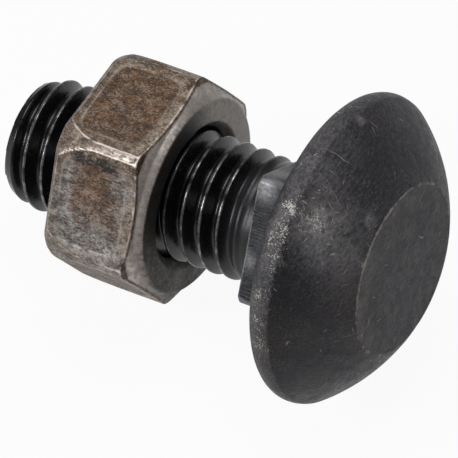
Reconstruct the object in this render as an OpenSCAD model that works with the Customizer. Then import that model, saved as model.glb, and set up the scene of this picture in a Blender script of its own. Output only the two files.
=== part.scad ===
// Plow bolt with its hex nut, lying at rest on the rim of the head and on one flat of the nut.
// The bolt is one forging: a domed head with a flat top, a square neck, a plain collar and a rolled thread.
// Sizes are in mm. The floor is z = 0, +X points from the free end to the head and +Z is up.

/* [Head] */
// Diameter over the rolled rim
head_diameter = 23.65; // [20:0.05:32]
// Height of the flat top above the seat
head_height = 6.45; // [5:0.05:9]
// Diameter of the flat on top of the dome
flat_diameter = 13.15; // [9:0.05:16]
// Radius of the rolled rim
rim_radius = 1.4; // [0.6:0.05:2]
// Lean of the rim's upright side, in degrees
rim_lean = 15; // [5:1:30]

/* [Square neck] */
// Width across the flats of the neck
neck_width = 9.9; // [9.4:0.05:12]
// Height of the neck below the seat
neck_height = 3.9; // [2.5:0.05:8]
// Radius of the neck's long corners
neck_corner = 0.55; // [0.2:0.05:1]
// Bevel of the corners at the thread end
neck_bevel = 0.15; // [0.1:0.05:1]
// Turn of the neck about the axis, from the side that faces the floor
neck_turn = -33.5; // [-45:0.5:45]

/* [Thread] */
// Diameter over the crests
thread_diameter = 9.85; // [9.6:0.05:10]
// Rise of one turn
pitch = 1.5; // [1:0.25:1.75]
// Length from the seat to the free end
bolt_length = 25; // [23:0.5:60]
// Diameter of the free end
end_diameter = 8.55; // [8.2:0.05:9.2]
// Length of the cone between the free end and the full crests
end_cone = 1.5; // [0.8:0.1:2.5]
// Depth of the plain collar below the crests
collar_inset = 0.2; // [0.1:0.02:0.4]
// Length of the plain collar
collar_length = 0.5; // [0.4:0.1:3]
// Length over which the thread runs out below the collar
runout_length = 2.4; // [1:0.1:4]
// Turn of the thread about the axis
thread_turn = 339.5; // [0:0.5:360]

/* [Nut] */
// Width across the flats
nut_flats = 15.9; // [15:0.1:19]
// Height along the axis
nut_height = 8; // [6:0.1:11]
// Height taken off each sharp corner
corner_blunting = 0.18; // [0.05:0.01:0.4]
// Distance from the seat under the head to the nut
nut_distance = 11.1; // [6:0.1:14]
// Distance of the bearing face's edge inside the flats
bearing_inset = 0.45; // [0.4:0.05:1.2]
// Width of the rim around the bearing face
bearing_rim_width = 0.2; // [0.1:0.05:0.4]
// Depth of the rim around the bearing face
bearing_rim_depth = 0.6; // [0.2:0.05:0.8]
// Slope of the corner bevels on the bearing side, in degrees
bearing_slope = 22; // [15:1:40]
// Length of the corners that rounds in towards the back
rounding_length = 3.5; // [1:0.1:5]
// Depth of that rounding at the back face
rounding_depth = 0.65; // [0.3:0.05:1]
// Bevel of the flats' edges at the back face
back_bevel = 0.35; // [0.2:0.05:0.6]
// Width of the countersunk mouths around the bore
mouth_width = 0.6; // [0.3:0.05:1]
// Slope of the countersinks, in degrees
mouth_slope = 45; // [30:1:60]
// Radial gap between the thread crests and the bore
bore_clearance = 0.2; // [0.12:0.01:0.4]

/* [Hidden] */
$fn = 96;

// The dome is a sphere on the axis. It passes through the edge of the flat and would touch the rim's round.
head_radius = head_diameter / 2;
flat_radius = flat_diameter / 2;
rim_inner = head_radius - rim_radius;
dome_slope = (head_height - rim_radius) / rim_radius;
dome_base = (pow(flat_radius, 2) - pow(rim_inner, 2) + pow(head_height, 2)) / (2 * rim_radius);
dome_square = pow(dome_slope, 2) - 1;
dome_linear = dome_base * dome_slope - head_height;
dome_constant = pow(dome_base, 2) - pow(flat_radius, 2) - pow(head_height, 2);
dome_centre = (dome_linear - sqrt(pow(dome_linear, 2) - dome_square * dome_constant)) / dome_square;
dome_radius = dome_base - dome_slope * dome_centre;

// The rim's side leaves its round at the lean and meets the dome in a soft crease.
side_foot = [rim_inner + rim_radius * cos(rim_lean), rim_radius + rim_radius * sin(rim_lean)];
side_up = [-sin(rim_lean), cos(rim_lean)];
foot_offset = side_foot - [0, dome_centre];
foot_rise = foot_offset * side_up;
side_length = sqrt(pow(foot_rise, 2) + pow(dome_radius, 2) - foot_offset * foot_offset) - foot_rise;
crease = side_foot + side_length * side_up;

// The thread has 60 degree flanks, a narrow crest and a narrow root.
crest_radius = thread_diameter / 2;
thread_depth = 0.613 * pitch;
root_radius = crest_radius - thread_depth;
crest_width = pitch / 8;
flank_width = thread_depth * tan(30);
steps = 36;
start_gap = 0.25;
least_rise = 0.12;
rises = [0, flank_width, flank_width + crest_width, 2 * flank_width + crest_width, pitch];
end_radius = end_diameter / 2;
collar_radius = crest_radius - collar_inset;
collar_end = -neck_height - collar_length;
faded_crest = collar_radius - 0.03;
faded_root = collar_radius - 0.12;
thread_rise = bolt_length + collar_end + neck_height / 2;
rows = steps + ceil((thread_rise - start_gap) / pitch * steps);

nut_back = -nut_distance - nut_height;
nut_apothem = nut_flats / 2;
nut_corner_radius = nut_apothem / cos(30) - corner_blunting;
bearing_radius = nut_apothem - bearing_inset;
rounding_radius = (pow(rounding_length, 2) + pow(rounding_depth, 2)) / (2 * rounding_depth);
rounding_start = nut_back + rounding_length;
flat_edge = nut_back + back_bevel;
bore_radius = crest_radius + bore_clearance;
mouth_radius = bore_radius + mouth_width;
mouth_depth = mouth_width * tan(mouth_slope);

// The axis tips down towards the free end until the nut's flat meets the floor.
lever = rim_radius - flat_edge;
drop = rim_inner - nut_apothem;
tilt = atan2(drop, lever) + asin(rim_radius / norm([lever, drop]));
axis_height = rim_inner * cos(tilt) + rim_radius - rim_radius * sin(tilt);
front_x = head_height * cos(tilt) + flat_radius * sin(tilt);
back_x = -bolt_length * cos(tilt) - end_radius * sin(tilt);

function clamp(value) = min(max(value, 0), 1);

function fade(z) = clamp((z - collar_end + runout_length) / runout_length);

function end_cone_radius(z) = end_radius + (z + bolt_length) * (crest_radius - end_radius) / end_cone;

function thread_radius(corner, z) =
    let (crest = corner == 1 || corner == 2)
    let (full = crest ? crest_radius : root_radius)
    let (faded = crest ? faded_crest : faded_root)
    full + (faded - full) * fade(z);

function thread_z(row, corner) = -bolt_length + start_gap + pitch * (row / steps - 1) + rises[corner];

// The first turn is cut off by the free end: only the corners from this one on stand clear of it.
function first_clear(row) =
    min([for (corner = [0:4]) if (thread_z(row, corner) > -bolt_length + least_rise) corner]);

// Radius where the thread's section meets the plane of the free end.
function cut_radius(row) =
    let (clear = first_clear(row))
    let (hidden = max(clear - 1, 0))
    let (low = thread_z(row, hidden))
    let (share = clear == 0 ? 0 : clamp((-bolt_length - low) / (thread_z(row, clear) - low)))
    let (inner = thread_radius(hidden, low))
    let (outer = thread_radius(clear, low))
    min(inner + (outer - inner) * share, end_radius);

// Distance from the axis and height of a corner of the thread.
// A corner that is cut off lies between the free end and the first clear corner.
function section_point(row, corner) =
    let (clear = first_clear(row))
    let (z = thread_z(row, max(corner, clear)))
    let (radius = min(thread_radius(max(corner, clear), z), end_cone_radius(z)))
    let (share = corner < clear ? (corner + 1) / (clear + 1) : 1)
    let (cut = corner < clear ? cut_radius(row) : radius)
    [cut + (radius - cut) * share, -bolt_length + (z + bolt_length) * share];

function turned(row, point) =
    let (turn = thread_turn + 360 * row / steps)
    [point[0] * cos(turn), point[0] * sin(turn), point[1]];

// Number of a thread point in the list: four corners a row, and the last turn's upper edge after them.
function at(row, corner) =
    let (above = row + steps)
    corner < 4 ? 4 * row + corner : above <= rows ? 4 * above : 4 * (rows + 1) + above - rows - 1;

module rolled_thread() {
    top = -neck_height / 2 + pitch + 0.4;
    helix = [for (row = [0:rows]) for (corner = [0:3]) turned(row, section_point(row, corner))];
    upper_edge = [for (row = [rows - steps + 1:rows]) turned(row, section_point(row, 4))];
    end_ring = [for (row = [0:steps - 1]) turned(row, [cut_radius(row), -bolt_length])];
    top_ring = [for (row = [0:steps - 1]) turned(row, [faded_root - 0.3, top])];
    low = len(helix) + len(upper_edge);
    high = low + steps;
    first = rows - steps;
    seam = low + steps - 1;
    flanks_a = [for (i = [0:rows - 1]) for (k = [0:3]) [at(i, k), at(i, k + 1), at(i + 1, k + 1)]];
    flanks_b = [for (i = [0:rows - 1]) for (k = [0:3]) [at(i, k), at(i + 1, k + 1), at(i + 1, k)]];
    low_a = [for (i = [0:steps - 1]) [low + i, at(i, 0), at(i + 1, 0)]];
    low_b = [for (i = [0:steps - 2]) [low + i, at(i + 1, 0), low + i + 1]];
    low_seam = [for (k = [0:3]) [seam, at(0, k + 1), at(0, k)]];
    low_close = [[seam, at(0, 0), low]];
    high_a = [for (i = [first:rows - 1]) [at(i, 4), high + i % steps, high + (i + 1) % steps]];
    high_b = [for (i = [first:rows - 1]) [at(i, 4), high + (i + 1) % steps, at(i + 1, 4)]];
    stop_face = [for (k = [0:3]) [high + rows % steps, at(rows, k), at(rows, k + 1)]];
    low_cap = [[for (i = [0:steps - 1]) low + i]];
    high_cap = [[for (i = [0:steps - 1]) high + steps - 1 - i]];
    low_faces = concat(low_a, low_b, low_seam, low_close, low_cap);
    high_faces = concat(high_a, high_b, stop_face, high_cap);
    polyhedron(
        points = concat(helix, upper_edge, end_ring, top_ring),
        faces = concat(flanks_a, flanks_b, low_faces, high_faces),
        convexity = 20
    );
}

module head_section() {
    rim_centre = [rim_inner, rim_radius];
    flat_point = [flat_radius, head_height];
    polygon([[0, 0], [rim_inner, 0], rim_centre, side_foot, crease, flat_point, [0, head_height]]);
    translate(rim_centre) circle(rim_radius);
    intersection() {
        translate([0, dome_centre]) circle(dome_radius);
        polygon([crease, flat_point, [crease[0], head_height]]);
    }
}

module domed_head() {
    rotate_extrude() head_section();
}

module neck_section() {
    inner = neck_width - 2 * neck_corner;
    square([neck_width, inner], center = true);
    square([inner, neck_width], center = true);
    for (x = [-1, 1]) {
        for (y = [-1, 1]) {
            translate([x * inner / 2, y * inner / 2]) circle(neck_corner);
        }
    }
}

// The bevel is a cone, so it takes off the corners and leaves the flats whole.
module neck_bevels() {
    corner_radius = (neck_width / 2 - neck_corner) * sqrt(2) + neck_corner;
    cylinder(h = neck_bevel, r1 = corner_radius - neck_bevel, r2 = corner_radius);
    translate([0, 0, neck_bevel]) cylinder(h = neck_height + rim_radius, r = corner_radius + 1);
}

module square_neck() {
    translate([0, 0, -neck_height]) intersection() {
        rotate(neck_turn) linear_extrude(neck_height + rim_radius) neck_section();
        neck_bevels();
    }
}

module collar() {
    translate([0, 0, collar_end]) cylinder(h = collar_length + neck_height / 2, r = collar_radius);
}

module bolt() {
    color([0.13, 0.13, 0.14]) lying() union() {
        domed_head();
        square_neck();
        collar();
        rolled_thread();
    }
}

// Half section that the hexagon's corners are turned to.
// It is bevelled at the bearing face and rounds in towards the back.
module nut_turning() {
    rim_out = bearing_radius + bearing_rim_width;
    bearing_drop = bearing_rim_depth + (nut_corner_radius - rim_out) * tan(bearing_slope);
    polygon([
        [0, rounding_start],
        [nut_corner_radius, rounding_start],
        [nut_corner_radius, -nut_distance - bearing_drop],
        [rim_out, -nut_distance - bearing_rim_depth],
        [bearing_radius, -nut_distance],
        [0, -nut_distance]
    ]);
    intersection() {
        translate([nut_corner_radius - rounding_radius, rounding_start]) circle(rounding_radius);
        translate([0, nut_back]) square([nut_corner_radius, rounding_length]);
    }
}

module hexagon() {
    rotate(30) circle(nut_apothem / cos(30), $fn = 6);
}

module back_bevels() {
    for (turn = [0:60:300]) {
        rotate(turn) translate([nut_apothem - back_bevel, 0, nut_back]) rotate([0, 45, 0])
            translate([0, -nut_apothem, -nut_apothem]) cube(2 * nut_apothem);
    }
}

module nut_bore() {
    bottom = nut_back - 1;
    flare = mouth_depth + tan(mouth_slope);
    translate([0, 0, bottom]) cylinder(h = nut_height + 2, r = bore_radius);
    translate([0, 0, bottom]) cylinder(h = flare, r1 = mouth_radius + 1, r2 = bore_radius);
    translate([0, 0, -nut_distance - mouth_depth]) cylinder(h = flare, r1 = bore_radius, r2 = mouth_radius + 1);
}

module nut() {
    color([0.36, 0.3, 0.25]) lying() difference() {
        intersection() {
            translate([0, 0, nut_back]) linear_extrude(nut_height) hexagon();
            rotate_extrude() nut_turning();
        }
        back_bevels();
        nut_bore();
    }
}

module lying() {
    translate([-(front_x + back_x) / 2, 0, axis_height]) rotate([0, 90 - tilt, 0]) children();
}

bolt();
nut();
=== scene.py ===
# %% [markdown]
# A plow bolt and its hex nut lie on a pale floor, resting on the rim of the head and on one flat of the nut.
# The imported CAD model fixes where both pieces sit, so it is loaded first and never moved.
# Each piece is then made again as a finer mesh, because rolled threads and worn edges need more points
# than a CAD model keeps.

# %% Load the frame
import math
import bpy
from mathutils import Matrix, Vector, noise


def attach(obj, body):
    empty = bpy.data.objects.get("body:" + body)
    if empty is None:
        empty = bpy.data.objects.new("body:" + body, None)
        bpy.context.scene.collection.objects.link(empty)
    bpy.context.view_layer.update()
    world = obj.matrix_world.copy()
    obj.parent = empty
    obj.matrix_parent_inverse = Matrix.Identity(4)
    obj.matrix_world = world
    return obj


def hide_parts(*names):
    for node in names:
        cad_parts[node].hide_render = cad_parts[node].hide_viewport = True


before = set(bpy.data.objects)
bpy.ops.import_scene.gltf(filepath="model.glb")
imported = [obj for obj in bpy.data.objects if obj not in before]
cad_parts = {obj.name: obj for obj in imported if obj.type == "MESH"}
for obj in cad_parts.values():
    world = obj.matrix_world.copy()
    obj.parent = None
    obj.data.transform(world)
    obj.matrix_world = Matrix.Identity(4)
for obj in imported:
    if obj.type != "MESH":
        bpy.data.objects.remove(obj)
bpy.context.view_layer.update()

# %% [markdown]
# A bolt is forged and rolled about one axis, so its shapes are shortest to write in a frame of their own.
# There Z is the axis, Z = 0 is the seat under the head, and X points to the side that faces the floor.
# Sizes in it are in millimetres, and turns are in degrees from X towards Y.
# One matrix lays the frame down where the CAD has the bolt, in metres.

# %% Lay the bolt's own frame down
axis_dip = math.radians(10.956789)
axis_height = 11.368865
seat_x = 8.887345
end_z = -25
lying = Matrix.Translation((seat_x / 1000, 0, axis_height / 1000))
lying = lying @ Matrix.Rotation(math.pi / 2 - axis_dip, 4, "Y") @ Matrix.Scale(0.001, 4)
print("Free end, m:", [round(v, 4) for v in lying @ Vector((0, 0, end_z))])

# %% [markdown]
# Both pieces are star-shaped about the axis: every ray from the axis leaves them once at each height.
# So they can be made as rows of points, where each column is a half section that may change with the turn.
# A square neck, a hexagon and a round head are then all made by one helper,
# and a helix is a row that climbs as it turns.

# %% Rows of points about the axis
def spoke(turn, radius, z):
    angle = math.radians(turn)
    return Vector((radius * math.cos(angle), radius * math.sin(angle), z))


class Shell:
    """Points in the bolt's own frame, in mm, and the faces between them."""

    def __init__(self):
        self.points = []
        self.faces = []

    def add(self, point):
        self.points.append(point)
        return len(self.points) - 1

    def loft(self, turns, section):
        """Rows through the half sections at all turns. Returns the first and the last row."""
        sections = [section(turn) for turn in turns]
        count = len(sections[0])
        rows = [[self.add(spoke(t, *s[k])) for t, s in zip(turns, sections)] for k in range(count)]
        for low, high in zip(rows, rows[1:]):
            for i in range(len(turns)):
                j = (i + 1) % len(turns)
                self.faces.append((low[i], low[j], high[j], high[i]))
        return rows[0], rows[-1]

    def close(self, row, z, upwards):
        """Closes a row with a fan of triangles to a point on the axis."""
        centre = self.add(Vector((0, 0, z)))
        for i in range(len(row)):
            pair = (row[i], row[(i + 1) % len(row)])
            self.faces.append((*(pair if upwards else pair[::-1]), centre))


print("A shell is made of rows, lofts and fans")

# %% [markdown]
# Forged and machined edges are never sharp, and their small rounds catch the light.
# A bevel modifier could round them, but it would also touch the thread and leave uneven columns.
# The helper below rounds every corner of a half section with a short curve instead. It always returns
# the same number of points, so that neighbouring columns fit together even where the section changes.

# %% Round the corners of a half section
def rounded(corners, rounds, fills, curve=4, most=0.45):
    """Rounds the inner corners of (radius, z) by the lengths in rounds, each at most a share of its side.

    fills are the numbers of points along the sides.
    """
    corners = [Vector(c) for c in corners]
    starts, ends = [corners[0]], [corners[0]]
    for before, here, after, cut in zip(corners, corners[1:], corners[2:], rounds):
        back, ahead = before - here, after - here
        starts.append(here + back.normalized() * min(cut, most * back.length))
        ends.append(here + ahead.normalized() * min(cut, most * ahead.length))
    starts.append(corners[-1])
    ends.append(corners[-1])
    path = [corners[0]]
    for n in range(1, len(corners)):
        fill = fills[n - 1]
        path += [ends[n - 1].lerp(starts[n], k / (fill + 1)) for k in range(1, fill + 1)]
        if n < len(corners) - 1:
            for k in range(curve + 1):
                s = k / curve
                path.append(starts[n].lerp(corners[n], s).lerp(corners[n].lerp(ends[n], s), s))
    path.append(corners[-1])
    return [tuple(p) for p in path]


print("A right angle, rounded:", len(rounded([(0, 0), (1, 0), (1, 1)], [0.1], [1, 1])), "points")

# %% [markdown]
# The thread is rolled: hardened dies press a 60 degree groove into the shank and push metal up into crests.
# A screw modifier could spin a profile, but it can't be cut off square at the ends,
# so the strip is wound point by point.
# Each column is the thread's section at one turn, and the next turn's columns carry on from its upper end.
# The lower and upper edges of the strip are stitched to plain rows, which makes one closed skin.

# %% Wind a thread
def wind(shell, low, high, start_turn, columns, steps, column, inward=False):
    """Winds a strip between two closed rows. column(i) gives the section's (radius, z) points at step i."""
    def put(i, point):
        return shell.add(spoke(start_turn + 360 * i / columns, *point))

    last = steps - columns
    strip = [[put(i, point) for point in column(i)[:-1]] for i in range(steps + 1)]
    top = {i: put(i, column(i)[-1]) for i in range(last + 1, steps + 1)}
    m = len(strip[0])

    def at(i, k):
        if k < m:
            return strip[i][k]
        return strip[i + columns][0] if i + columns <= steps else top[i]

    faces = [(at(i, k), at(i + 1, k), at(i + 1, k + 1), at(i, k + 1)) for i in range(steps) for k in range(m)]
    faces += [(low[i], low[i + 1], at(i + 1, 0), at(i, 0)) for i in range(columns - 1)]
    faces.append((low[-1], low[0], *strip[0], at(columns, 0), at(columns - 1, 0)))
    turn = [high[i % columns] for i in range(last, steps + 1)]
    faces.append((at(last, m), at(last + 1, m), turn[1], turn[0], *[at(steps, k) for k in range(m, 0, -1)]))
    faces += [(at(i, m), at(i + 1, m), turn[i - last + 1], turn[i - last]) for i in range(last + 1, steps)]
    shell.faces += [face[::-1] for face in faces] if inward else faces


def cut_off(section, low_z, high_z, least=0.06):
    """Cuts a section off at two heights, and spreads the lost points over the nearest side."""
    first = next(k for k, p in enumerate(section) if p[1] > low_z + least)
    if first:
        foot, kept = Vector((section[first - 1][0], low_z)), Vector(section[first])
        section = [tuple(foot.lerp(kept, (k + 1) / (first + 1))) for k in range(first)] + section[first:]
    last = max(k for k, p in enumerate(section) if p[1] < high_z - least)
    lost = len(section) - 1 - last
    kept, tip = Vector(section[last]), Vector((section[min(last + 1, len(section) - 1)][0], high_z))
    return section[:last + 1] + [tuple(kept.lerp(tip, k / (lost + 1))) for k in range(1, lost + 1)]


print("A strip winds between two closed rows")

# %% [markdown]
# The bolt's thread has a narrow crest and a rounded root.
# A cone bevels its first turn at the free end, and below the neck the groove grows shallow and runs out
# into a plain collar. Both are limits on the radius of each point, so the helix itself stays one formula.

# %% Thread section of the bolt
pitch = 1.5
crest_radius, end_radius, collar_radius = 4.925, 4.275, 4.725
thread_depth = 0.613 * pitch
root_radius = crest_radius - thread_depth
collar_z, runout_z, runout_length = -3.97, -6.8, 2.4
first_root, bevel_length, end_lip = 0.125, 1.5, 0.03
bolt_columns = 252
thread_turn = 339.5
bolt_turns = [thread_turn + 360 * i / bolt_columns for i in range(bolt_columns)]

flank_side = [(0, -0.02), (0.09, 0.005), (0.16, 0.06), (0.27, 0.25), (0.39, 0.458), (0.51, 0.666)]
flank_side += [(0.615, 0.848), (0.645, 0.893), (0.688, 0.917)]
thread_section = flank_side + [(pitch / 2, thread_depth)] + [(pitch - x, h) for x, h in flank_side[::-1]]


def bolt_thread(i):
    start = end_z + first_root + pitch * (i / bolt_columns - 1)
    section = []
    for rise, height in thread_section:
        z = start + rise
        fade = min(max((z - runout_z) / runout_length, 0), 1)
        cone = end_radius + max(z - end_z, 0) * (crest_radius - end_radius) / bevel_length
        section.append((min((root_radius + height) * (1 - fade) + collar_radius * fade, cone), z))
    return cut_off(section, end_z + end_lip, collar_z)


print("Thread section:", len(thread_section), "points, depth", round(thread_depth, 3), "mm")

# %% [markdown]
# Above the collar comes the square neck, which a die presses and which stops the bolt from turning.
# It is square with rounded corners, so its distance from the axis is a function of the turn.

# %% Square neck
neck_half, neck_corner, neck_turn = 4.95, 0.55, -33.5
neck_z, neck_bevel, neck_bevel_z = -3.9, 0.15, -3.75
neck_bevel_radius = (neck_half - neck_corner) * math.sqrt(2) + neck_corner - neck_bevel


def neck_radius(turn):
    angle = math.radians(abs((turn - neck_turn + 45) % 90 - 45))
    inner = neck_half - neck_corner
    if neck_half * math.tan(angle) <= inner:
        return neck_half / math.cos(angle)
    across = inner * (math.cos(angle) - math.sin(angle))
    return inner * (math.cos(angle) + math.sin(angle)) + math.sqrt(neck_corner**2 - across**2)


print("Neck over the corners:", round(2 * neck_radius(neck_turn + 45), 2), "mm")

# %% [markdown]
# The head is forged in one blow from above: a flat seat, a rolled rim and a dome with a flat top.
# The dome is part of a sphere. It meets the leaning side of the rim in a soft crease,
# and the rim is rounded towards the seat. Where other bolts have struck the crease, it is knocked back.

# %% Half section of neck and head
head_height, flat_radius, rim_radius = 6.45, 6.575, 1.4
rim_inner = 23.65 / 2 - rim_radius
seat_radius = rim_inner - 1.5
dome_centre, dome_radius = -6.3745, 14.4119
crease_radius, crease_top = 11.704, 1.6 * rim_radius
rim_lean, rim_steps, dome_steps = 15, 20, 30
dome_turn = math.acos(crease_radius / dome_radius)
flat_turn = math.asin((head_height - dome_centre) / dome_radius)
flat_rings = (4.8, 3.8, 2.8, 1.8, 0.8)


def hump(value, middle, width):
    """1 in the middle, and falling smoothly to 0 on both sides."""
    return math.exp(-((value - middle) / width) ** 2)


def knocked(turn, radius, z):
    """Where the rim is struck most, its crease is knocked back to a plain round."""
    if not rim_radius < z < crease_top:
        return radius, z
    plain = rim_inner + math.sqrt(rim_radius**2 - (z - rim_radius) ** 2)
    return radius + 0.9 * hump(turn % 360, 200, 38) * min(plain - radius, 0), z


def bolt_section(turn):
    r = neck_radius(turn)
    corners = [(collar_radius, collar_z), (collar_radius, neck_z), (min(r, neck_bevel_radius), neck_z)]
    corners += [(r, neck_bevel_z), (r, 0), (seat_radius, 0)]
    section = rounded(corners, [0.03, 0.12, 0.06, 0.2], [0, 2, 1, 12, 6])
    arc = [math.radians(-90 + (90 + rim_lean) * k / rim_steps) for k in range(rim_steps + 1)]
    section += [(rim_inner + rim_radius * math.cos(a), rim_radius * (1 + math.sin(a))) for a in arc]
    arc = [dome_turn + (flat_turn - dome_turn) * k / dome_steps for k in range(dome_steps)]
    dome = [(dome_radius * math.cos(a), dome_centre + dome_radius * math.sin(a)) for a in arc]
    section = section[:-1] + rounded([section[-1], dome[0], dome[1]], [0.12], [2, 1])[:-1] + dome[1:]
    section = [knocked(turn, *point) for point in section]
    crease = [section[-1], (flat_radius, head_height), (flat_radius - 0.9, head_height)]
    section += rounded(crease, [0.16], [0, 2])[1:]
    return section + [(radius, head_height) for radius in flat_rings]


print("Half section of neck and head:", len(bolt_section(0)), "points")

# %% [markdown]
# Nothing forged is perfectly even. Smooth noise that is only hundredths of a millimetre high is enough to
# break the reflections up, and it is added along the normals of the finished mesh.
# Each point also keeps its place in the bolt's own frame as an attribute, so that finishes follow the axis.
# Marks are further numbers on the points, such as how near an edge is. The finishes use them to show wear,
# and some also carry painted light and shade.

# %% Turn a shell into a piece
def make_piece(name, shell, uneven, marks):
    mesh = bpy.data.meshes.new(name)
    mesh.from_pydata(shell.points, [], shell.faces)
    normals = [Vector(n.vector) for n in mesh.vertex_normals]
    for label, mark in marks.items():
        values = [mark(p) for p in shell.points]
        mesh.attributes.new(label, "FLOAT", "POINT").data.foreach_set("value", values)
    shell.points = [p + n * uneven(p) for p, n in zip(shell.points, normals)]
    own = mesh.attributes.new("own_place", "FLOAT_VECTOR", "POINT")
    own.data.foreach_set("vector", [v for p in shell.points for v in p])
    for vertex, point in zip(mesh.vertices, shell.points):
        vertex.co = lying @ point
    mesh.shade_smooth()
    mesh.validate()
    piece = bpy.data.objects.new(name, mesh)
    bpy.context.collection.objects.link(piece)
    print(name, "has", len(mesh.vertices), "points and", len(mesh.polygons), "faces")
    return piece


print("A piece keeps its place and its marks on its points")

# %% [markdown]
# The dies leave the thread smooth, while the forged head is lumpy, so the bolt has two kinds of unevenness.
# Its crests, the edges of its neck and the edge of its flat top are rubbed in use.
# How near a point is to one of them follows from its radius and height, which is surer than measuring angles
# between faces.

# %% Unevenness and worn edges of the bolt
thread_top_z, neck_foot_z = -3.85, -3.95


def turn_of(p):
    return math.degrees(math.atan2(p.y, p.x)) % 360


def reach_of(p):
    return math.hypot(p.x, p.y)


def ease(value, start, end):
    """Goes smoothly from 0 at start to 1 at end."""
    s = min(max((value - start) / (end - start), 0), 1)
    return s * s * (3 - 2 * s)


def lumps(point, size, seed):
    return noise.noise(point / size + Vector((seed, 2 * seed, 3 * seed)))


def bolt_uneven(p):
    if p.z < thread_top_z:
        return 0.006 * lumps(p, size=0.9, seed=1)
    return 0.02 * lumps(p, size=5, seed=2) + 0.008 * lumps(p, size=1.2, seed=3)


def bolt_edge(p):
    """Near 1 on the thread's crests, the neck's edges and the edge of the flat top."""
    reach = reach_of(p)
    if p.z < neck_foot_z:
        return ease(reach, crest_radius - 0.16, crest_radius - 0.02)
    if p.z < 0:
        return max(ease(reach, 6.3, 6.75), ease(-p.z, 3.6, 3.85))
    struck = 0.93 + 0.2 * hump(turn_of(p), 205, 50)
    return struck * ease(math.hypot(reach - flat_radius, p.z - head_height), 0.4, 0.05)


print("Edge mark on a crest:", round(bolt_edge(Vector((crest_radius, 0, -15))), 2))

# %% [markdown]
# A bolt that has lain among others is rubbed, nicked, scratched, dusty and darker in patches, and a few spots
# are painted light and shade.
# The patches could be painted by hand, but a list of soft round spots is shorter and easy to change.
# Each spot is a place in the bolt's own frame, a size and a strength.

# %% Spots of wear on the bolt
rub_and_light_spots = [
    (-9.0, -5.1, 3.6, 1.6, 1.1), (-8.4, -3.4, 4.7, 1.2, 0.4), (-7.3, -2.2, 5.9, 0.6, 0.8),
    (-10.6, -2.2, 2.8, 1.2, 0.45), (-10.9, 3.4, 2.4, 0.35, 1.0), (-7.3, -6.4, 4.4, 1.3, 0.5),
    (-6.3, -4.8, 5.7, 1.4, 0.6), (-10.6, 0.8, 2.6, 1.3, 0.2), (-2.0, -9.9, 4.0, 1.6, 0.12),
    # The last spot on the next line, on the neck's upper flat, is painted light.
    (-4.9, -6.2, 5.6, 1.7, 0.3), (-5.9, 0.3, -3.3, 0.9, 0.35),
    (-6.3, -2.0, -3.2, 0.8, 1.2), (-1.5, -5.0, -3.6, 0.7, 0.5), (5.6, 3.2, -2.8, 1.0, 0.8),
    (3.0, 9.6, 3.6, 2.0, 0.7), (8.9, 3.5, 4.0, 1.7, 0.6), (7.4, -7.0, 3.7, 1.6, 0.6),
]
fleck_spots = [
    (-10.5, -5.7, 1.6, 0.9, 1.2), (-9.3, -7.6, 1.7, 1.0, 1.3), (-7.9, -8.9, 1.8, 0.9, 1.1),
    (-5.6, -10.3, 1.0, 0.9, 1.0), (-4.0, -11.0, 1.2, 1.0, 0.9), (-1.6, -11.7, 1.2, 1.1, 0.8),
    (-9.1, -5.1, 3.5, 0.9, 0.9), (-6.6, -2.6, 6.3, 0.5, 0.8), (-4.9, -4.4, 6.4, 0.6, 0.9),
    (0.6, -6.6, 6.4, 0.7, 1.0), (-11.2, -2.0, 2.0, 1.4, 0.5), (10.0, 6.0, 1.6, 1.6, 0.9),
]
scour_spots = [
    (-9.2, -5.2, 3.4, 1.5, 1.3), (-10.3, -3.6, 2.9, 0.8, 0.6), (-7.4, -6.2, 4.4, 0.9, 0.6),
    (8.9, 3.5, 4.0, 1.4, 1.0), (3.0, 9.6, 3.6, 1.5, 0.8),
]
dust_spots = [
    (-1.9, -11.9, 1.2, 2.4, 0.6), (-3.4, -5.7, 6.4, 2.2, 0.7), (0.5, -6.6, 6.4, 1.6, 0.5),
    (-9.6, -4.2, 3.4, 1.8, 0.3), (6.0, 8.0, 3.5, 3.0, 0.6), (9.0, -6.0, 1.5, 2.5, 0.6),
]
# Dark patches. The spot at the neck's upper corner under the head is a painted shadow.
dark_spots = [
    (-4.6, -9.6, 3.6, 2.4, 0.8), (-1.2, -10.6, 3.2, 2.6, 0.7), (-9.3, 1.6, 4.2, 2.4, 0.6),
    (-6.3, 5.2, 5.2, 2.6, 0.4), (-6.6, -9.2, 2.7, 0.9, 0.7), (6.0, 7.0, 4.6, 3.0, 0.6),
    (-6.85, -1.3, -2.0, 0.85, 1.2), (-4.5, 1.5, 6.4, 2.5, 0.5), (1.5, -4.5, 6.4, 2.2, 0.6),
]


def spread(p, spots):
    """The strength of all the spots together at a point."""
    return sum(much * hump((p - Vector((x, y, z))).length, 0, size) for x, y, z, size, much in spots)


print("Rubbed spots on the bolt:", len(rub_and_light_spots))

# %% Where the bolt is rubbed, dusty, dark and nicked
crease_low, crease_high = 1.95, 2.15


def bolt_rubbed(p):
    """Spots of the dome and the neck, and the side of the rim, where the black finish is rubbed thin, and
    painted light on the neck's upper flat.
    """
    rim = 0.17 * ease(p.z, 0.4, 0.9) * ease(p.z, crease_high, crease_low)
    return min(spread(p, rub_and_light_spots) + rim, 1)


def bolt_dust_and_sheen(p):
    """Dust, and the dull collar that the dies don't burnish, whose grey is partly a painted sheen."""
    collar = 0.5 * ease(p.z, runout_z, -5.6) if p.z < neck_z else 0
    return min(spread(p, dust_spots) + collar, 1)


def bolt_dark(p):
    """Dark patches, a painted shadow under the head on the neck, and painted shade on a strip of the dome
    beside the rim crease.
    """
    # Painted shade: a strip of the dome beside the rim crease is darkened.
    strip = 0.6 * ease(p.z, crease_low, crease_high) * ease(p.z, 3.4, 2.4) * hump(turn_of(p), 255, 32)
    return min(spread(p, dark_spots) + strip, 1)


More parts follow.
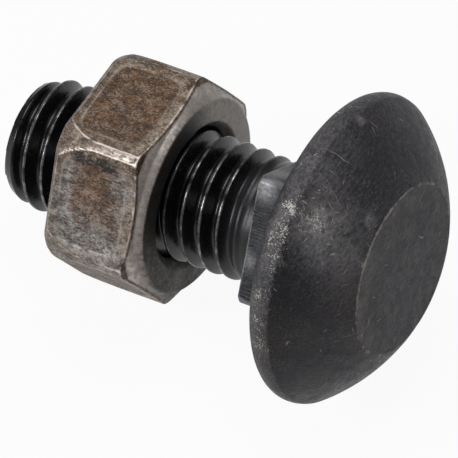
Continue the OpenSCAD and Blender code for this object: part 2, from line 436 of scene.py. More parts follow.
def bolt_flecked(p):
    """Nicks, most of all on the rim, where other bolts knock against it."""
    if p.z < 0:
        return 0
    band = 0.28 * ease(p.z, 0.5, 1.0) * ease(p.z, 2.2, crease_low)
    return min(band + 0.9 * spread(p, fleck_spots), 1.05)


def patched(spots):
    """A mark that is made of spots alone."""
    return lambda p: min(spread(p, spots), 1)


bolt_marks = {"edge": bolt_edge, "rubbed": bolt_rubbed, "dust_and_sheen": bolt_dust_and_sheen, "dark": bolt_dark}
bolt_marks |= {"flecked": bolt_flecked, "scoured": patched(scour_spots)}
print("Marks on the bolt:", list(bolt_marks))

# %% [markdown]
# The bolt is one forging, so it becomes one closed skin: the free end, the thread, and then neck and head.
# The free end is cut square with a slight dish, as shears leave it. Its rim follows the start of the thread,
# and the wound strip joins it to the collar. The finished piece takes the place of the CAD's bolt.

# %% Make the bolt
dish_z, dish_edge_z, end_bevel = -24.85, -24.9, 0.14
collar_gap = 0.1


def end_section(turn):
    rim = bolt_thread(round((turn - thread_turn) * bolt_columns / 360))[0][0]
    corners = [(0.8, dish_z), (2.7, dish_edge_z), (rim - end_bevel, end_z), (rim, end_z + end_lip)]
    return rounded(corners, [0.3, 0.06], [3, 2, 0])


bolt_shell = Shell()
end_row, cone_row = bolt_shell.loft(bolt_turns, end_section)
bolt_shell.close(end_row, dish_z, upwards=False)
collar_row, flat_row = bolt_shell.loft(bolt_turns, bolt_section)
bolt_shell.close(flat_row, head_height, upwards=True)
bolt_steps = math.ceil((collar_z - collar_gap - end_z) / pitch * bolt_columns)
wind(bolt_shell, cone_row, collar_row, thread_turn, bolt_columns, bolt_steps, bolt_thread)
bolt = make_piece("forged_bolt", bolt_shell, bolt_uneven, bolt_marks)
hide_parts("bolt")
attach(bolt, "bolt")

# %% [markdown]
# The nut is hot forged from a slug, so its flats are a little hollow, its corners are blunt,
# and they round in towards the back. Turning then bevels the side that bears on the work.
# Each of these shapes is a limit on how far the metal reaches out,
# so the nut's outline at any turn and depth is the smallest of the limits.
# A soft minimum does that and rounds the edges in between, as wear does.

# %% Outline of the nut
nut_front, nut_height, nut_apothem = -11.1, 8, 7.95
nut_back = nut_front - nut_height
nut_corner_radius = nut_apothem / math.cos(math.radians(30)) - 0.18
round_length, round_drop, back_bevel = 3.5, 0.65, 0.35
rounding_radius = (round_length**2 + round_drop**2) / (2 * round_drop)
face_radius, rim_outer, rim_depth, cone_angle = 7.5, 7.7, 0.6, 22


def soft_least(limits, soft):
    least = min(limits)
    return least - soft * math.log(sum(math.exp((least - limit) / soft) for limit in limits))


def off_flat(turn):
    """Degrees from the middle of the nearest flat."""
    return (turn + 30) % 60 - 30


def nut_limits(turn, depth):
    """How far the flat, the rounded corner, the back bevel and the turned front let the metal reach."""
    across = math.cos(math.radians(off_flat(turn)))
    drop = max(depth - nut_height + round_length, 0)
    barrel = nut_corner_radius - rounding_radius + math.sqrt(rounding_radius**2 - drop**2)
    bevel = (nut_apothem - back_bevel + nut_height - depth) / across
    cone = rim_outer + (depth - rim_depth) / math.tan(math.radians(cone_angle))
    rim = face_radius + depth / 3
    return [nut_apothem / across, barrel, bevel, max(cone, rim)]


def nut_reach(turn, depth):
    return soft_least(nut_limits(turn, depth), 0.045)


print("Nut over the corners:", round(2 * nut_reach(30, 3), 2), "mm")

# %% [markdown]
# The half section of the nut runs from the bore over the back face, up the side and over the bearing face
# into the bore again. Rows lie closer together near both faces, where the outline bends most,
# because a mesh only shows a round edge where it has points for it.

# %% Half section of the nut
bore_radius, mouth_radius, mouth_depth = 5.05, 5.725, 0.65
face_lip = (7.47, nut_front - 0.01)
depths = [0.05 * k for k in range(27)] + [1.4, 1.55, 1.75] + [2 + 0.25 * k for k in range(22)]
depths += [7.4, 7.5] + [7.55 + 0.05 * k for k in range(10)]


def nut_section(turn):
    back = [(bore_radius, nut_back + mouth_depth), (mouth_radius, nut_back)]
    back.append((nut_reach(turn, nut_height), nut_back))
    sides = [(nut_reach(turn, depth), nut_front - depth) for depth in depths[:0:-1]]
    front = [(face_radius, nut_front), (mouth_radius, nut_front), (bore_radius, nut_front - mouth_depth)]
    return rounded(back, [0.1], [2, 8])[:-1] + sides + [face_lip] + rounded(front, [0.1], [8, 2])[1:]


print("Nut half section:", len(nut_section(0)), "points")

# %% [markdown]
# The nut's own thread is cut into the bore, so its grooves go outwards, and they fade at both mouths.
# The bore keeps a little play around the bolt's crests, which is why the nut can run freely along it.

# %% Thread of the nut
nut_columns = 360
thread_start, thread_stop = 0.8, 0.75
groove = [(0, 0), (0.08, 0.0), (0.13, 0.03), (0.3, 0.29), (0.47, 0.55), (0.54, 0.6), (0.66, 0.6)]
groove += [(0.73, 0.55), (0.9, 0.29), (1.07, 0.03), (1.12, 0), (1.3, 0), (pitch, 0)]


def nut_thread(i):
    start = nut_back + thread_start + pitch * i / nut_columns
    section = []
    for rise, depth in groove:
        z = start + rise
        shown = ease(z, nut_back + 0.6, nut_back + 1.3) * (1 - ease(z, nut_front - 1.2, nut_front - 0.6))
        section.append((bore_radius + depth * shown, z))
    return section


print("Groove of the nut:", max(depth for _, depth in groove), "mm deep")

# %% [markdown]
# Steel shrinks as it cools, which leaves a shallow hollow in the middle of each flat.
# It is only a few hundredths of a millimetre deep, but other metal rubs the border and not the hollow,
# so the two age differently. One function says where the hollow is, for the shape and for the finish.

# %% Hollow flats of the nut
hollow_shift, hollow_depth = 0.4, 0.06
hollow_across, hollow_along = 3.4, 2.7


def flat_place(p):
    """Distance from the middle line of the nearest flat, from the middle of its hollow, and from the axis."""
    across = nut_apothem * math.tan(math.radians(off_flat(turn_of(p))))
    return abs(across), abs(p.z - nut_front + nut_height / 2 + hollow_shift), reach_of(p)


def nut_hollow(p):
    """Near 1 inside the hollow of each flat."""
    across, along, reach = flat_place(p)
    return ease((across / hollow_across) ** 6 + (along / hollow_along) ** 6, 1.5, 0.6) if reach > 7.8 else 0


def nut_uneven(p):
    if reach_of(p) < 6.5:
        return 0.0
    forged = 0.012 * lumps(p, size=2.2, seed=5) + 0.002 * lumps(p, size=0.7, seed=6)
    return forged - hollow_depth * nut_hollow(p)


print("Hollow of a flat:", 2 * hollow_across, "by", 2 * hollow_along, "mm")

# %% [markdown]
# Edges, blunt corners and the turned cone are rubbed to bare steel, most at one corner. How bright the cone
# is around the nut is painted light and shade.
# The limits that shape the nut also say where its edges are: where the two smallest are nearly equal.

# %% Worn edges and cone of the nut
struck_corner = 210
face_edge, cone_end, cone_depth, corner_depth = 7.3, 8.55, 2, 7.9


def cone_gap(p):
    """How far the turned cone lies outside the flat or the blunt corner. It is below 0 on the cone itself."""
    flat, barrel, _, front = nut_limits(turn_of(p), nut_front - p.z)
    return front - min(flat, barrel)


def nut_edge(p):
    """Near 1 where two of the nut's limits meet, and weaker away from the corner that is struck most."""
    turn, depth = turn_of(p), nut_front - p.z
    limits = sorted(nut_limits(turn, depth))
    inside = ease(limits[0] - reach_of(p), 0.25, 0.1)
    struck = 0.78 + 0.22 * hump(turn, struck_corner, 22) * ease(depth, 7.6, 7.0)
    gap = cone_gap(p)
    crisp = struck * ease(limits[1] - limits[0], 0.11, 0.005)
    beside_cone = 0.66 * ease(gap, 1.2, 0.3)
    return max(crisp, beside_cone) * ease(gap, -0.02, 0.06) * inside


def nut_coned(p):
    """Near 1 on the turned cone around the bearing face, short of its outer edge and of the corners."""
    reach = reach_of(p)
    if reach < face_edge or nut_front - p.z > cone_depth:
        return 0
    return ease(cone_gap(p), -0.12, -0.24) * ease(reach, cone_end, 8.4)


def nut_corner_shade(turn):
    """Near 1 at the lower corner, where painted shade darkens the cone."""
    return hump(turn, 335, 28)


def nut_polish_and_light(p):
    """Rubbed bare steel on the turned cone and the fronts of the blunt corners; on the cone also painted
    light and shade.
    """
    depth, reach, turn = nut_front - p.z, reach_of(p), turn_of(p)
    if reach < face_edge or depth > corner_depth:
        return 0
    flat, barrel, bevel, front = nut_limits(turn, depth)
    struck = 1 if abs(turn - struck_corner) < 30 else 0.3
    blunt = ease(min(flat, bevel, front) - barrel, -0.02, 0.06)
    corner = struck * blunt * (0.12 + 0.88 * ease(depth, 6.2, 2.2))
    # Painted light and shade: the cone is made brighter near two turns, darker at the lower corner, and
    # darker on its rim.
    lit_side = 0.35 + 0.6 * hump(turn, 215, 45) + 0.4 * hump(turn, 276, 13)
    lit_side -= 0.35 * nut_corner_shade(turn)
    cone = lit_side * nut_coned(p) * (0.35 + 0.7 * ease(depth, 0.5, 0.8)) * ease(reach, 7.35, face_radius)
    return max(corner, cone)


print("Edge mark at the struck corner:", round(nut_edge(spoke(213, nut_reach(213, 4), nut_front - 4)), 2))

# %% [markdown]
# The turned faces keep a grey skin, and painted shade darkens one side of them.
# Rust starts along the borders of the flats, at the tips of the corners and along the outer edge of the cone,
# where the bare edge traps water. Grey and black patches lie over the flats, as spots like the bolt's.

# %% Skin, rust, black patches and painted shade of the nut
def nut_faced(p):
    """The turned faces, which keep a grey skin."""
    if p.z < nut_front - 1.5:
        return ease(p.z, nut_back + 0.05, nut_back)
    return max(ease(reach_of(p), 7.55, 7.35), nut_coned(p))


def nut_bordered(p):
    """The outer border of each flat, the tips of the corners and the edge of the cone, where rust starts."""
    across, _, reach = flat_place(p)
    depth, gap = nut_front - p.z, cone_gap(p)
    tip = 2 * ease(reach, 8.4, cone_end) * ease(depth, 1.5, 1.2)
    crease = 1.7 * ease(gap, 0.06, -0.02) * ease(gap, -0.32, -0.2)
    return max(ease(across, 3.6, 4.2), ease(depth, 6.6, 7.2), tip, crease) if reach > 7.6 else 0


def nut_face_shade(p):
    """Painted shade on one side of the faces, on the inside of the bore and on one corner of the cone."""
    reach, turn = reach_of(p), turn_of(p)
    around = math.cos(math.radians(turn - 245))
    shaded_corner = nut_corner_shade(turn) * ease(nut_front - p.z, cone_depth, 1.5)
    return max(ease(around, -0.25, 0.5) * ease(reach, 7.75, face_radius), ease(reach, 5.75, 5.6), shaded_corner)


grey_spots = [
    (-1.6, -8.0, -14.3, 1.9, 1.0), (-1.4, -8.0, -17.0, 1.6, 0.9), (-5.9, -5.6, -13.5, 0.8, 0.5),
    (-4.4, -6.7, -18.0, 0.7, 1.0), (-2.7, -7.6, -17.7, 0.9, 1.0), (-0.9, -8.7, -13.2, 1.0, 0.8),
    (-6.4, -5.5, -13.2, 0.7, 0.7), (-5.5, -6.0, -12.7, 0.9, 0.7), (-6.2, -5.6, -17.6, 0.7, 0.7),
    (-5.3, -6.1, -17.7, 0.8, 0.8), (-4.2, -6.8, -13.0, 0.7, 0.7), (-3.4, -7.2, -18.0, 0.7, 0.6),
    (8.0, -2.5, -16.0, 2.0, 0.8), (3.0, 7.6, -14.0, 2.2, 0.9), (-4.8, 6.6, -17.0, 1.8, 0.7),
]
black_spots = [(-6.9, -5.2, -17.4 + 0.55 * k, 0.5, 0.9) for k in range(7)]
black_spots += [(-6.3, 5.4, -15.0, 1.0, 0.8), (6.3, -5.0, -15.5, 1.0, 0.8), (6.2, 5.2, -14.5, 0.9, 0.8)]


nut_marks = {"edge": nut_edge, "hollow": nut_hollow, "polish_and_light": nut_polish_and_light, "faced": nut_faced}
nut_marks |= {"greyed": patched(grey_spots), "face_shade": nut_face_shade, "bordered": nut_bordered}
nut_marks["blackened"] = patched(black_spots)
print("Marks on the nut:", list(nut_marks))

# %% [markdown]
# The nut is a ring, so its skin has no ends: the half section's last row meets the wound thread of the bore.
# A boolean could cut the bore out of a solid, but it would leave long thin faces around the edge.

# %% Make the nut
nut_shell = Shell()
back_row, front_row = nut_shell.loft(range(nut_columns), nut_section)
nut_steps = int((nut_height - thread_start - pitch - thread_stop) / pitch * nut_columns)
wind(nut_shell, back_row, front_row, 0, nut_columns, nut_steps, nut_thread, inward=True)
nut = make_piece("hex_nut", nut_shell, nut_uneven, nut_marks)
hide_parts("nut")
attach(nut, "nut")

# %% [markdown]
# A finish is a tree of shader nodes, and short helpers keep the trees readable.
# One adds a node with its values and links. The others add sums, soft steps and layers of colour.
# A socket knows the tree that it belongs to, as its id_data, so they find the tree by themselves.

# %% Node helpers
def add(tree, kind, sockets, output=0, **settings):
    """Adds a node and returns one output. sockets maps inputs to values, or to the outputs that feed them."""
    made = tree.nodes.new(kind)
    for label, value in settings.items():
        setattr(made, label, value)
    for key, value in sockets.items():
        if isinstance(value, bpy.types.NodeSocket):
            tree.links.new(value, made.inputs[key])
        else:
            made.inputs[key].default_value = value
    return made.outputs[output]


def sums(operation, first, second):
    tree = (first if isinstance(first, bpy.types.NodeSocket) else second).id_data
    return add(tree, "ShaderNodeMath", {0: first, 1: second}, operation=operation)


def plus(first, second):
    return sums("ADD", first, second)


def minus(first, second):
    return sums("SUBTRACT", first, second)


def times(first, second):
    return sums("MULTIPLY", first, second)


def vectors(operation, *values, output=0):
    sockets = dict(enumerate(values))
    return add(values[0].id_data, "ShaderNodeVectorMath", sockets, output, operation=operation)


def soft_step(value, low, high):
    """0 at low and beyond, 1 at high and beyond, and a soft step in between."""
    sockets = {"Value": value, "From Min": low, "From Max": high}
    return add(value.id_data, "ShaderNodeMapRange", sockets, interpolation_type="SMOOTHSTEP")


def tint(share, under, over):
    """Lays one colour over another by a share from 0 to 1."""
    under, over = [(*c, 1) if isinstance(c, tuple) else c for c in (under, over)]
    return add(share.id_data, "ShaderNodeMix", {0: share, 6: under, 7: over}, output=2, data_type="RGBA")


print("Node helpers ready")

# %% [markdown]
# All the finishes share four effects, so each is a node group that is built once.
# Sizes in them are in millimetres, and Place is a point in the bolt's own frame.
# Mottle gives soft cloudy patches, as an oxide bath leaves.

# %% Start an effect, and mottle
def effect(name, inputs):
    group = bpy.data.node_groups.new(name, "ShaderNodeTree")
    group.interface.new_socket("Place", in_out="INPUT", socket_type="NodeSocketVector")
    for label, value in inputs.items():
        group.interface.new_socket(label, in_out="INPUT", socket_type="NodeSocketFloat").default_value = value
    group.interface.new_socket("Mask", in_out="OUTPUT", socket_type="NodeSocketFloat")
    return group, group.nodes.new("NodeGroupInput").outputs, group.nodes.new("NodeGroupOutput").inputs["Mask"]


def cloud(place, size, detail=4.0, rough=0.6):
    tree = place.id_data
    sockets = {0: place, "Scale": sums("DIVIDE", 1.0, size)}
    near = add(tree, "ShaderNodeVectorMath", sockets, operation="SCALE")
    sockets = {"Vector": near, "Scale": 1.0, "Detail": detail, "Roughness": rough}
    return add(tree, "ShaderNodeTexNoise", sockets)


mottle, given, mask = effect("Mottle", {"Size": 1.0, "Contrast": 2.0})
half = sums("DIVIDE", 0.5, given["Contrast"])
patchy = soft_step(cloud(given["Place"], given["Size"]), minus(0.5, half), plus(0.5, half))
mottle.links.new(patchy, mask)
print("Effect:", mottle.name)

# %% [markdown]
# Flecks are the small bright nicks where the finish is knocked off.
# Fine noise above a threshold gives them, and coarser noise gathers them into clumps, as knocks do.

# %% Flecks
flecks, given, mask = effect("Flecks", {"Size": 0.2, "Amount": 0.2})
least = minus(0.82, times(given["Amount"], 0.24))
clumps = cloud(given["Place"], times(given["Size"], 6.0), detail=1.0)
fine = plus(cloud(given["Place"], given["Size"], detail=2.0), times(minus(clumps, 0.5), 0.5))
flecks.links.new(soft_step(fine, least, plus(least, 0.12)), mask)
print("Effect:", flecks.name)

# %% [markdown]
# Scratches are thin straight lines at all angles.
# Space is split into cells, and in some of them a thin plane at a random angle cuts the surface.
# The lines fade towards the edge of their cell, so that none ends abruptly.

# %% Scratches
scratches, given, mask = effect("Scratches", {"Length": 1.5, "Width": 0.04, "Amount": 0.2})
cells = {"Vector": given["Place"], "Scale": sums("DIVIDE", 1.0, given["Length"])}
middle = add(scratches, "ShaderNodeTexVoronoi", cells, output="Position")
slope = vectors("SUBTRACT", middle.node.outputs["Color"], (0.5, 0.5, 0.5))
away = vectors("SUBTRACT", given["Place"], middle)
aside = vectors("DOT_PRODUCT", away, vectors("NORMALIZE", slope), output="Value")
line = soft_step(sums("ABSOLUTE", aside, 0.0), given["Width"], 0.0)
chance = add(scratches, "ShaderNodeTexWhiteNoise", {"Vector": middle}, output="Value", noise_dimensions="3D")
line = times(line, sums("LESS_THAN", chance, given["Amount"]))
fading = soft_step(vectors("LENGTH", away, output="Value"), times(given["Length"], 0.6), 0.0)
scratches.links.new(times(line, fading), mask)
print("Effect:", scratches.name)

# %% [markdown]
# Worn edge eats into an edge mark with noise, so that the bare metal isn't a clean line.

# %% Worn edge
worn_edge, given, mask = effect("Worn edge", {"Edge": 0.0, "Size": 0.4, "Wear": 0.5})
eaten = cloud(given["Place"], given["Size"])
left = plus(minus(given["Edge"], eaten), minus(given["Wear"], 0.5))
worn_edge.links.new(soft_step(left, 0.0, 0.35), mask)
print("Effect:", worn_edge.name)

# %% [markdown]
# Every finish here starts in the same way: a material with its Principled shader, and the place on the bolt.
# Its colour is built as paint would be, from the ground up, where each layer has a mask and a colour.
# Fine relief comes from a Bump node, because pits of a hundredth of a millimetre would need too many points.

# %% Start a finish
def finish(name, specular=0.5):
    """A new material, its shader, the place, and functions that lay an effect and read a mark."""
    material = bpy.data.materials.new(name)
    material.use_nodes = True
    tree = material.node_tree
    shader = tree.nodes["Principled BSDF"]
    shader.inputs["Specular IOR Level"].default_value = specular

    def mark(label, output="Fac"):
        return add(tree, "ShaderNodeAttribute", {}, output=output, attribute_name=label)

    place = mark("own_place", "Vector")

    def lay(group, **values):
        return add(tree, "ShaderNodeGroup", {"Place": place, **values}, node_tree=group)

    return material, shader, place, lay, mark


def layered(colour, layers):
    """Lays colours over the first one in turn, each by its own mask."""
    for share, over in layers:
        colour = tint(share, colour, over)
    return colour


def feed(shader, label, value):
    shader.id_data.links.new(value, shader.inputs[label])


def relief(shader, height, depth):
    """Bump from a height of 0 to 1, where depth is in millimetres."""
    sockets = {"Height": height, "Distance": depth / 1000, "Strength": 1.0}
    feed(shader, "Normal", add(shader.id_data, "ShaderNodeBump", sockets))


print("A finish starts from a Principled shader")

# %% [markdown]
# The head is black oxide on forged steel: a thin conversion coating that keeps the grain of the forging.
# It is nearly black and dull, cloudy in broad patches, hazy grey where it is rubbed and bright at the nicks.
# Colour and roughness are mixed from the shared effects, and the marks on the points say where the wear lies.

# %% Black oxide: grain, rubbing and nicks
black_oxide, shader, place, lay, mark = finish("black oxide", specular=0.25)
grain = lay(mottle, Size=0.16, Contrast=2.6)
cloudy = lay(mottle, Size=0.8, Contrast=3.0)
patches = lay(mottle, Size=3.2, Contrast=2.6)
drawn_out = vectors("MULTIPLY", place, (1, 0.4, 1))
fibres = lay(mottle, Place=drawn_out, Size=0.2, Contrast=3.2)
rubbed = times(mark("rubbed"), plus(plus(times(fibres, 0.5), times(cloudy, 0.3)), 0.27))
often = plus(mark("flecked"), times(mark("scoured"), 0.52))
nicks = lay(flecks, Size=0.11, Amount=plus(often, 0.15))
specks = lay(flecks, Size=0.2, Amount=plus(mark("flecked"), 0.85))
bare = lay(worn_edge, Edge=mark("edge"), Size=0.55, Wear=0.14)
print("Effects laid in:", black_oxide.name)

# %% [markdown]
# Real scratches are slightly bent, because the bolts roll as they rub.
# Bending the place with soft noise before the scratches read it bends every line. Four lengths are overlaid.

# %% Black oxide: scratches
bend = (0.35, 0.35, 0.35)
scratch_kinds = ((2.6, 0.03, 1.0), (1.3, 0.04, 1.0), (0.75, 0.04, 0.9), (0.5, 0.04, 0.8))
scuffed = plus(times(mark("rubbed"), 0.45), 0.035)
scuffed = plus(scuffed, times(mark("scoured"), 0.95))
sway = {"Vector": place, "Scale": 1.1, "Detail": 1.0}
sway = add(place.id_data, "ShaderNodeTexNoise", sway, output="Color")
bent = vectors("MULTIPLY_ADD", sway, bend, place)
lines = 0.0
for length, width, much in scratch_kinds:
    drawn = lay(scratches, Place=bent, Length=length, Width=width, Amount=times(scuffed, much))
    lines = sums("MAXIMUM", lines, drawn)
print("Kinds of scratches:", len(scratch_kinds))

# %% Black oxide: colour, roughness and relief
blue_black, dark_grey = (0.004, 0.0034, 0.0052), (0.0185, 0.016, 0.021)
cloud_grey, grain_grey = (0.033, 0.0285, 0.0385), (0.074, 0.0695, 0.078)
oil_black, speck_grey = (0.004, 0.004, 0.0055), (0.1, 0.097, 0.1)
haze_grey, dust_brown = (0.2, 0.194, 0.197), (0.075, 0.05, 0.033)
scratch_grey, edge_steel, nick_steel = (0.38, 0.37, 0.36), (0.32, 0.28, 0.24), (0.46, 0.44, 0.41)
colour = layered(tint(patches, blue_black, dark_grey), [
    (times(cloudy, 0.3), cloud_grey),
    (times(times(grain, fibres), 0.85), grain_grey),
    # The dark mark lays dark patches, and painted shade beside the rim crease.
    (times(mark("dark"), 0.66), oil_black),
    (times(specks, 0.5), speck_grey),
    (times(rubbed, 0.95), haze_grey),
    (times(times(mark("dust_and_sheen"), grain), 0.55), dust_brown),
    (times(lines, 0.75), scratch_grey),
    (times(bare, 0.85), edge_steel),
    (nicks, nick_steel),
])
feed(shader, "Base Color", colour)
dull = plus(plus(times(grain, 0.14), times(cloudy, 0.12)), times(patches, 0.12))
feed(shader, "Roughness", plus(dull, 0.34))
relief(shader, minus(grain, times(nicks, 0.8)), 0.02)
print("Finish:", black_oxide.name)

# %% [markdown]
# The dies burnish the thread as they roll it, so the same oxide is smoother and deeper there.
# Its crests rub against the nut, and they show as thin bright broken lines.

# %% Rolled thread
rolled_black, shader, _, lay, mark = finish("rolled black thread", specular=0.34)
grain = lay(mottle, Size=0.35, Contrast=2.0)
bare = lay(worn_edge, Edge=mark("edge"), Size=0.7, Wear=0.16)
nicks = lay(flecks, Size=0.16, Amount=0.2)
deep_black, soft_black = (0.0025, 0.0025, 0.003), (0.006, 0.006, 0.007)
collar_sheen_grey, crest_steel = (0.03, 0.031, 0.035), (0.3, 0.3, 0.31)
colour = layered(tint(grain, deep_black, soft_black), [
    # On the collar this grey is a painted sheen.
    (times(mark("dust_and_sheen"), 0.5), collar_sheen_grey),
    (sums("MAXIMUM", times(bare, 0.62), nicks), crest_steel),
])
feed(shader, "Base Color", colour)
feed(shader, "Roughness", plus(plus(times(grain, 0.14), times(mark("dust_and_sheen"), 0.3)), 0.16))
feed(shader, "Metallic", times(bare, 0.8))
relief(shader, grain, 0.004)
print("Finish:", rolled_black.name)

# %% [markdown]
# The square neck is pressed in a die, which draws the steel along the axis and leaves fine streaks.
# It is a little bluer and lighter than the head, and its corners are rubbed bright. Painted shadow darkens
# its upper corner under the head, and painted light brightens its upper flat.
# Noise that is squeezed across the axis and stretched along it gives the streaks.

# %% Drawn neck
drawn_neck, shader, place, lay, mark = finish("drawn neck", specular=0.3)
grain = lay(mottle, Size=0.25, Contrast=2.2)
cloudy = lay(mottle, Size=1.2, Contrast=2.6)
along = vectors("MULTIPLY", place, (13, 13, 0.9))
streaks = add(place.id_data, "ShaderNodeTexNoise", {"Vector": along, "Scale": 1.0, "Detail": 3.0})
streaks = times(soft_step(streaks, 0.48, 0.64), plus(times(cloudy, 0.65), 0.35))
bare = lay(worn_edge, Edge=mark("edge"), Size=0.9, Wear=0.3)
scuffed = times(mark("rubbed"), plus(times(grain, 0.6), 0.4))
neck_black, neck_blue, neck_grain = (0.004, 0.0043, 0.0058), (0.011, 0.0117, 0.015), (0.035, 0.037, 0.043)
streak_blue, shade_black = (0.08, 0.086, 0.1), (0.004, 0.004, 0.005)
scuff_and_light_grey, corner_steel = (0.4, 0.4, 0.42), (0.3, 0.3, 0.32)
colour = layered(tint(cloudy, neck_black, neck_blue), [
    (times(grain, 0.3), neck_grain),
    (times(streaks, 0.6), streak_blue),
    # Painted shadow of the head on the neck's upper corner, from the dark mark.
    (times(mark("dark"), 0.85), shade_black),
    # Rubbed neck, and painted light on the neck's upper flat.
    (times(scuffed, 0.9), scuff_and_light_grey),
    (times(bare, 0.45), corner_steel),
])
feed(shader, "Base Color", colour)
feed(shader, "Roughness", plus(plus(times(grain, 0.2), times(mark("dark"), 0.4)), 0.3))
feed(shader, "Metallic", times(bare, 0.6))
relief(shader, plus(times(streaks, -0.7), grain), 0.012)
print("Finish:", drawn_neck.name)

# %% [markdown]
# The nut has lost its coating and has aged to a brown skin of oxide and oil over grey steel.
# The hollow of each flat keeps the rough brown, the border around it is rubbed smoother and greyer,
# and the edges, the blunt corners and the cone around the bearing face are bare steel with a warm tone.

# %% Brown patina: masks
brown_patina, shader, place, lay, mark = finish("brown patina")
hollow, faced = mark("hollow"), mark("faced")
drawn_out = vectors("MULTIPLY", place, (1, 1, 0.62))
grain = lay(mottle, Place=drawn_out, Size=0.15, Contrast=3.8)
crumbs = lay(mottle, Place=drawn_out, Size=0.5, Contrast=3.6)
patches = lay(mottle, Size=2.4, Contrast=2.8)
rust = lay(mottle, Size=1.0, Contrast=3.4)
bare = lay(worn_edge, Edge=mark("edge"), Size=0.7, Wear=0.45)
lines = lay(scratches, Length=1.4, Width=0.04, Amount=0.25)
pale = lay(flecks, Place=drawn_out, Size=0.12, Amount=1.3)
covered = plus(times(hollow, 0.16), times(mark("bordered"), 0.1))
pale = times(sums("MAXIMUM", lines, pale), minus(0.42, covered))
frost = plus(times(lay(mottle, Size=0.45, Contrast=3.4), 0.6), 0.35)
frame_line = sums("POWER", times(times(hollow, minus(1.0, hollow)), 4.0), 3.0)
frame_line = times(frame_line, lay(mottle, Size=1.6, Contrast=3.0))
ragged = plus(mark("blackened"), plus(times(grain, 0.65), times(crumbs, 0.3)))
stained = plus(times(crumbs, 0.8), times(grain, 0.35))
stained = times(stained, minus(1.0, times(faced, 0.35)))
# The polish mark adds painted light and shade around the cone to the bare steel of wear.
gleam = sums("MAXIMUM", times(mark("polish_and_light"), minus(1.15, stained)), times(bare, 0.85))
print("Effects laid in:", brown_patina.name)

# %% [markdown]
# The layers follow the nut's history: brown skin, rust, frosted grey, dirt in the pits, pale rubbed flecks,
# black oil, the turned faces with painted shade on one side, and bare metal last of all, with painted light
# and shade around the cone.

# %% Brown patina: colour, roughness and relief
skin_brown, skin_tan, hollow_brown = (0.19, 0.124, 0.075), (0.38, 0.3, 0.225), (0.185, 0.082, 0.034)
rust_brown, border_rust, frost_grey = (0.13, 0.06, 0.024), (0.075, 0.036, 0.017), (0.36, 0.375, 0.38)
pit_black, crumb_brown, oil_black = (0.022, 0.014, 0.009), (0.03, 0.018, 0.011), (0.008, 0.009, 0.012)
fleck_tan, frame_tan, bare_steel = (0.48, 0.42, 0.35), (0.48, 0.44, 0.39), (0.74, 0.655, 0.6)
face_grey, face_shade_black = (0.25, 0.232, 0.216), (0.012, 0.012, 0.0125)
colour = layered(tint(patches, skin_brown, skin_tan), [
    (times(hollow, 0.8), hollow_brown),
    (times(rust, plus(times(hollow, 0.6), 0.25)), rust_brown),
    (times(mark("bordered"), plus(times(rust, 0.6), 0.35)), border_rust),
    (times(mark("greyed"), frost), frost_grey),
    (times(grain, plus(times(hollow, 0.28), 0.45)), pit_black),
    (times(crumbs, 0.68), crumb_brown),
    (pale, fleck_tan),
    (times(frame_line, plus(times(grain, 0.5), 0.2)), frame_tan),
    (times(soft_step(ragged, 0.75, 1.75), 0.95), oil_black),
    # The face shade mark darkens one side of the turned faces and the bore as painted shade.
    (times(faced, 0.88), tint(mark("face_shade"), face_grey, face_shade_black)),
    (times(gleam, 0.95), bare_steel),
])
feed(shader, "Base Color", colour)
rough = plus(plus(times(grain, 0.22), times(crumbs, 0.1)), times(mark("face_shade"), 0.05))
feed(shader, "Roughness", plus(plus(rough, 0.36), times(gleam, 0.04)))
feed(shader, "Metallic", plus(times(gleam, 0.3), 0.4))
pits = times(plus(times(grain, hollow), times(crumbs, 0.6)), minus(1.0, times(faced, 0.85)))
relief(shader, minus(times(lines, 0.4), pits), 0.022)
print("Finish:", brown_patina.name)

# %% [markdown]
# The bolt is one forging with three surfaces, so its faces take their finish by where they lie.
# Splitting it into three pieces would need no choice here, but the real bolt has no seams.

# %% Give the faces their finish
seat_z = -0.02
for made in (black_oxide, rolled_black, drawn_neck):
    bolt.data.materials.append(made)
nut.data.materials.append(brown_patina)
for face in bolt.data.polygons:
    lowest = min(bolt_shell.points[v].z for v in face.vertices)
    face.material_index = 1 if lowest < neck_foot_z else 2 if lowest < seat_z else 0
print("Faces of the neck:", sum(face.material_index == 2 for face in bolt.data.polygons))

# %% [markdown]
# The floor is plain and pale, and the light is soft, as in a small photo tent.
# The floor shows white to the camera and to glossy reflections, and still takes the soft shadow of the bolt.
# Light Path tells which kind of ray has met it, so that its glow doesn't light the bolt as well.

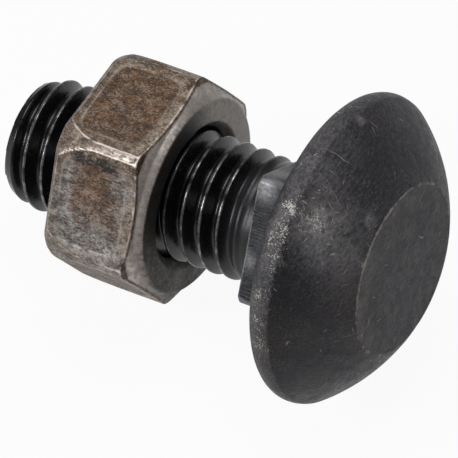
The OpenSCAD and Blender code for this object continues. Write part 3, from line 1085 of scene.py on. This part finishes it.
# %% Floor
floor_half, floor_grey, white_share = 1.5, (0.6, 0.6, 0.6, 1), 0.94
corners = [(-floor_half, -floor_half, 0), (floor_half, -floor_half, 0)]
corners += [(floor_half, floor_half, 0), (-floor_half, floor_half, 0)]
floor_mesh = bpy.data.meshes.new("floor")
floor_mesh.from_pydata(corners, [], [(0, 1, 2, 3)])
floor = bpy.data.objects.new("floor", floor_mesh)
bpy.context.collection.objects.link(floor)
paper = bpy.data.materials.new("white paper")
paper.use_nodes = True
tree = paper.node_tree
tree.nodes.clear()
rays = tree.nodes.new("ShaderNodeLightPath").outputs
seen = sums("MAXIMUM", rays["Is Camera Ray"], rays["Is Glossy Ray"])
seen = sums("MAXIMUM", seen, rays["Is Transmission Ray"])
matte = add(tree, "ShaderNodeBsdfDiffuse", {"Color": floor_grey})
glow = add(tree, "ShaderNodeEmission", {})
blend = add(tree, "ShaderNodeMixShader", {0: times(seen, white_share), 1: matte, 2: glow})
tree.links.new(blend, tree.nodes.new("ShaderNodeOutputMaterial").inputs["Surface"])
floor_mesh.materials.append(paper)
print("Floor laid")

# %% [markdown]
# Three large soft lamps and a pale surround light the bolt: from above, from the left,
# and from behind on the right. Disks that are wide for their distance give soft shadows and broad highlights.

# %% Lamps and surround
def soft_lamp(name, place, size, power):
    lamp = bpy.data.lights.new(name, "AREA")
    lamp.shape = "DISK"
    lamp.size = size
    lamp.energy = power
    holder = bpy.data.objects.new(name, lamp)
    holder.location = place
    holder.rotation_euler = (Vector((0, 0, 0.01)) - Vector(place)).to_track_quat("-Z", "Y").to_euler()
    bpy.context.collection.objects.link(holder)


soft_lamp("overhead", (-0.1, 0.1, 0.5), 0.3, 1.6)
soft_lamp("left", (-0.35, -0.35, 0.3), 0.22, 2.1)
soft_lamp("right", (0.45, 0.25, 0.3), 0.25, 0.45)
surround = bpy.data.worlds.new("surround")
surround.use_nodes = True
surround.node_tree.nodes["Background"].inputs["Color"].default_value = (0.15, 0.15, 0.15, 1)
bpy.context.scene.world = surround

# %% [markdown]
# The photograph was taken from the head side, from above, with a long lens.
# The camera's place and focal length were fitted to the outline of the bolt, for a square image.
# A matrix of its right, up and backward directions sets the camera exactly, without angles to get wrong.

# %% Camera
image_width, focal_pixels, sensor_width = 458, 14695.28, 36
eye = Vector((0.2975756, -0.5614426, 0.8711743))
right = Vector((0.861586, 0.506526, 0.033181))
down = Vector((0.425511, -0.685047, -0.591313))
camera = bpy.data.objects.new("camera", bpy.data.cameras.new("camera"))
camera.matrix_world = Matrix((right, -down, right.cross(-down))).transposed().to_4x4()
camera.matrix_world.translation = eye
camera.data.sensor_width = sensor_width
camera.data.lens = sensor_width * focal_pixels / image_width
camera.data.clip_end = 10
bpy.context.collection.objects.link(camera)
bpy.context.scene.camera = camera
bpy.context.scene.view_settings.view_transform = "Standard"
print("Lens, mm:", round(camera.data.lens))
